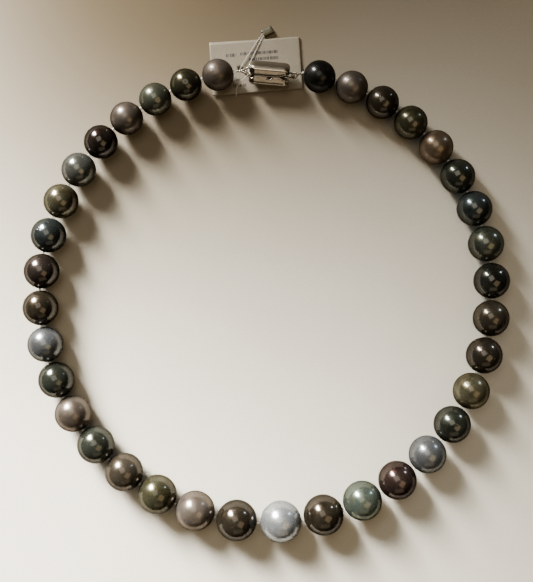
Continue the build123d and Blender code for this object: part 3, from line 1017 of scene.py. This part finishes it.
STRING_RADIUS = 0.15 * MM
STRING_ROUTE = [
    (-0.75, 80.79, 0.65), (-1.25, 80.15, 0.74), (-2.98, 77.60, 1.02), (-5.02, 74.40, 1.15),
    (-6.80, 71.60, 1.20), (-7.75, 70.10, 1.02), (-8.25, 68.75, 0.36), (-8.75, 66.60, 0.33),
    (-9.05, 64.20, 0.34), (-9.15, 62.30, 0.36), (-9.17, 61.40, 0.50), (-9.18, 61.05, 1.10),
    (-9.15, 61.95, 1.42), (-9.00, 63.70, 2.20), (-6.90, 65.65, 4.50), (-5.49, 66.72, 5.14),
    (-5.39, 67.86, 3.50), (-5.27, 69.04, 1.60), (-5.30, 70.60, 1.06), (-3.66, 74.10, 1.02),
    (-1.93, 77.60, 0.98), (-0.51, 80.35, 0.65),
]
# Distance between the points along the string and length of one turn of its plies, in millimetres.
STRING_STEP = 0.09
STRING_LAY = 0.95


def smooth_line(points):
    """The points along a NURBS curve that has these as its control points."""
    curve = bpy.data.curves.new("string_line", "CURVE")
    curve.dimensions = "3D"
    spline = curve.splines.new("NURBS")
    spline.points.add(len(points) - 1)
    for control, point in zip(spline.points, points):
        control.co = (*point, 1)
    spline.order_u = 3
    spline.use_endpoint_u = True
    curve.resolution_u = 12
    holder = bpy.data.objects.new("string_line", curve)
    bpy.context.scene.collection.objects.link(holder)
    bpy.context.view_layer.update()
    mesh = bpy.data.meshes.new_from_object(holder)
    line = [vertex.co.copy() for vertex in mesh.vertices]
    bpy.data.objects.remove(holder)
    bpy.data.meshes.remove(mesh)
    return line


def even_points(line, spacing):
    """Points at even distances along a line."""
    points, left = [line[0]], spacing
    for start, end in zip(line, line[1:]):
        run = (end - start).length
        at = left
        while at < run:
            points.append(start.lerp(end, at / run))
            at += spacing
        left = at - run
    points.append(line[-1])
    return points


def make_string():
    """Two-ply cotton string that follows the label's route."""
    control = [(Vector(point) + CIRCLE_MIDDLE) * MM for point in STRING_ROUTE]
    line = even_points(smooth_line(control), STRING_STEP * MM)
    sides = []
    side = None
    for i, point in enumerate(line):
        along = (line[min(i + 1, len(line) - 1)] - line[max(i - 1, 0)]).normalized()
        if side is None:
            side, _ = frame_along(along)
        side = (side - along * side.dot(along)).normalized()
        sides.append((side, along.cross(side)))
    strands = []
    for ply in range(2):
        path = []
        for i, (point, (first, second)) in enumerate(zip(line, sides)):
            turn = math.pi * ply + 2 * math.pi * i * STRING_STEP / STRING_LAY
            path.append(point + (first * math.cos(turn) + second * math.sin(turn)) * STRING_RADIUS * 0.48)
        strands.append(tube(f"string_ply_{ply}", path, STRING_RADIUS * 0.52, 7))
    string = joined("tag_string", strands)
    string.data.materials.append(thread_material("string_cotton", (0.60, 0.56, 0.49), (0.40, 0.365, 0.31)))
    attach(string, "label")
    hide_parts("label_string")
    return string, line


def make_crimp():
    """Flattened tin ferrule with a rolled mouth and a slightly crushed end."""
    centre = (Vector((0.45, 81.1, 0.65)) + CIRCLE_MIDDLE) * MM
    turn = math.radians(28)
    along = Vector((math.cos(turn), math.sin(turn), 0))
    across = Vector((-math.sin(turn), math.cos(turn), 0))
    length, width, height = 3.4 * MM, 2.3 * MM, 1.3 * MM
    wall = 0.3 * MM
    sides = 48
    profile = []
    for i in range(11):
        profile.append((-length / 2 + 0.4 * MM + (length - 0.7 * MM) * (10 - i) / 10, wall))
    profile.append((-length / 2 + 0.05 * MM, wall))
    profile.append((-length / 2, wall * 0.7))
    profile.append((-length / 2, wall * 0.3))
    for i in range(25):
        profile.append((-length / 2 + 0.06 * MM + (length - 0.12 * MM) * i / 24, 0.0))
    profile.append((length / 2, 0.08 * MM))
    vertices = []
    for at, inset in profile:
        crush = 0.06 * MM * smooth_step(at, length * 0.3, length * 0.5)
        half_w, half_h = width / 2 - inset, height / 2 - inset - crush
        flat = half_w - half_h
        for k in range(sides):
            angle = 2 * math.pi * k / sides
            x = math.copysign(flat, math.cos(angle)) * min(1, abs(math.cos(angle)) * 1.6)
            x += half_h * math.cos(angle)
            z = half_h * math.sin(angle) * (1.0 if abs(math.sin(angle)) < 0.999 else 0.995)
            vertices.append(centre + along * at + across * x + UP * z)
    faces = []
    for i in range(len(profile) - 1):
        for k in range(sides):
            after = (k + 1) % sides
            faces.append((i * sides + k, (i + 1) * sides + k, (i + 1) * sides + after, i * sides + after))
    faces.append(tuple(range(sides)))
    faces.append(tuple(reversed(range((len(profile) - 1) * sides, len(profile) * sides))))
    crimp = link_mesh("string_crimp", vertices, faces)
    crimp.data.materials.append(crimp_metal)
    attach(crimp, "label")
    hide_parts("label_crimp")
    return crimp


string, string_line = make_string()
crimp = make_crimp()

# ---------------------------------------------------------------- stage and light

FLOOR_REACH = 1.2
FLOOR_DROP = 0.00002


def make_floor():
    """Square of cloth a hair below the pearls, so that the two surfaces never coincide."""
    corners = ((-1, -1), (1, -1), (1, 1), (-1, 1))
    vertices = [(x * FLOOR_REACH, y * FLOOR_REACH, -FLOOR_DROP) for x, y in corners]
    floor = link_mesh("floor", vertices, [(0, 1, 2, 3)], smooth=False)
    floor.data.materials.append(cloth_floor_material())


def area_light(name, place, aim, size, energy, colour, spread=180):
    """A card of light at a place, turned to its aim; its beam's spread is in degrees."""
    light = bpy.data.lights.new(name, "AREA")
    light.shape = "RECTANGLE"
    light.size, light.size_y = size
    light.energy = energy
    light.color = colour
    light.spread = math.radians(spread)
    lamp = bpy.data.objects.new(name, light)
    bpy.context.scene.collection.objects.link(lamp)
    lamp.location = place
    lamp.rotation_euler = (Vector(aim) - Vector(place)).to_track_quat("-Z", "Y").to_euler()
    lamp.visible_camera = False


WORLD_COLOUR = (0.60, 0.55, 0.48, 1)
WORLD_STRENGTH = 0.035


def make_light():
    """Soft cards: a window at the left, a weaker one overhead, a far one, and two warm ones."""
    world = bpy.data.worlds.new("room")
    bpy.context.scene.world = world
    world.use_nodes = True
    world.node_tree.nodes["Background"].inputs["Color"].default_value = WORLD_COLOUR
    world.node_tree.nodes["Background"].inputs["Strength"].default_value = WORLD_STRENGTH
    area_light("window", (-0.36, 0.31, 0.27), (-0.10, -0.16, 0), (0.28, 0.335), 5.75,
               (1.0, 0.985, 0.95), 38)
    area_light("window_top", (-0.08, 0.17, 0.57), (0, 0, 0), (0.32, 0.32), 0.85, (1.0, 0.90, 0.74))
    area_light("far_window", (0.44, 0.38, 0.16), (0.08, -0.06, 0), (0.07, 0.09), 0.020,
               (0.70, 0.86, 1.0), 26)
    area_light("warm_ceiling", (0.26, -0.17, 0.56), (0, 0, 0), (0.36, 0.34), 0.68, (1.0, 0.74, 0.42))
    area_light("warm_wall", (0.08, -0.50, 0.34), (0, 0, 0), (0.46, 0.26), 0.22, (1.0, 0.80, 0.56))


make_floor()
make_light()
